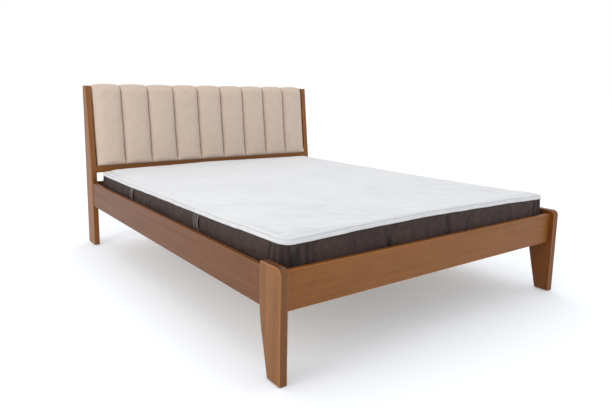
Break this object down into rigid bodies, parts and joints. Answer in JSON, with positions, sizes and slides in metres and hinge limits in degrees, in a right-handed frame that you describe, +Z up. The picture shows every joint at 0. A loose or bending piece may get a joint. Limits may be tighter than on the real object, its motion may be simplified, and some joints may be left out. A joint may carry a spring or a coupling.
{
  "type": "double bed",
  "caption": "Double bed with tapered board legs, raked back posts, a padded headboard with upright channels, wooden rails, a sprung slat base and a quilted mattress",
  "frame": {"origin": "middle of the footprint, on the floor", "axes": "+X to the right seen from the foot of the bed, +Y from the foot to the head, +Z up"},
  "size_m": [1.7, 2.196, 1.0115],
  "materials": {
    "stained_beech": "walnut-brown stain under satin lacquer",
    "plain_beech": "planed, unfinished",
    "birch_plywood": "sanded, clear sealed",
    "upholstery_fabric": "beige woven cover",
    "quilt_fabric": "white knitted ticking, quilted",
    "border_fabric": "dark brown woven cloth",
    "tape_webbing": "bluish white woven tape",
    "handle_webbing": "grey-brown woven webbing",
    "lining_cloth": "thin non-woven cloth",
    "felt": "pressed felt",
    "foam": "open-cell foam",
    "black_steel": "black powder coat",
    "zinc_plate": "zinc-plated sheet steel",
    "zinc_screws": "zinc-plated",
    "grey_plastic": "moulded, matt"
  },
  "bodies": {
    "bed_frame": {"front_leg_left": "stained_beech", "front_leg_right": "stained_beech", "back_post_left": "stained_beech", "back_post_right": "stained_beech", "side_rail_left": "stained_beech", "side_rail_right": "stained_beech", "foot_rail": "stained_beech", "head_rail": "stained_beech", "foot_rail_dowels": "plain_beech", "head_rail_dowels": "plain_beech", "rail_hook_plates": "zinc_plate", "post_slot_plates": "zinc_plate", "hook_plate_screws": "zinc_screws", "slot_plate_screws": "zinc_screws", "felt_pads": "felt", "ledger_left": "plain_beech", "ledger_right": "plain_beech", "ledger_screws": "zinc_screws", "centre_beam": "black_steel", "beam_brackets": "zinc_plate", "beam_bracket_screws": "zinc_screws", "centre_leg_foot_end": "black_steel", "centre_leg_head_end": "black_steel", "centre_leg_screws": "zinc_screws", "centre_leg_glides": "grey_plastic", "slats_left": "birch_plywood", "slats_right": "birch_plywood", "side_slat_holders": "grey_plastic", "centre_slat_holders": "grey_plastic", "headboard_rail": "stained_beech", "headboard_rail_dowels": "plain_beech", "headboard_panel": "birch_plywood", "headboard_battens": "plain_beech", "headboard_uprights": "plain_beech", "headboard_foam": "foam", "headboard_channel_pad": "upholstery_fabric", "headboard_lining": "lining_cloth", "headboard_brackets": "zinc_plate", "headboard_bracket_screws": "zinc_screws", "headboard_rail_screws": "zinc_screws"},
    "mattress": {"mattress_core": "foam", "mattress_base_foam": "foam", "mattress_comfort_foam": "foam", "mattress_border": "border_fabric", "mattress_quilted_top": "quilt_fabric", "mattress_bottom_panel": "lining_cloth", "mattress_top_tape": "tape_webbing", "mattress_bottom_tape": "tape_webbing", "mattress_handles": "handle_webbing"}
  },
  "joints": [
    {"name": "mattress_lift", "type": "slide", "parent": "bed_frame", "child": "mattress", "axis": [0, 0, 1], "range_m": [0, 0.15]}
  ]
}
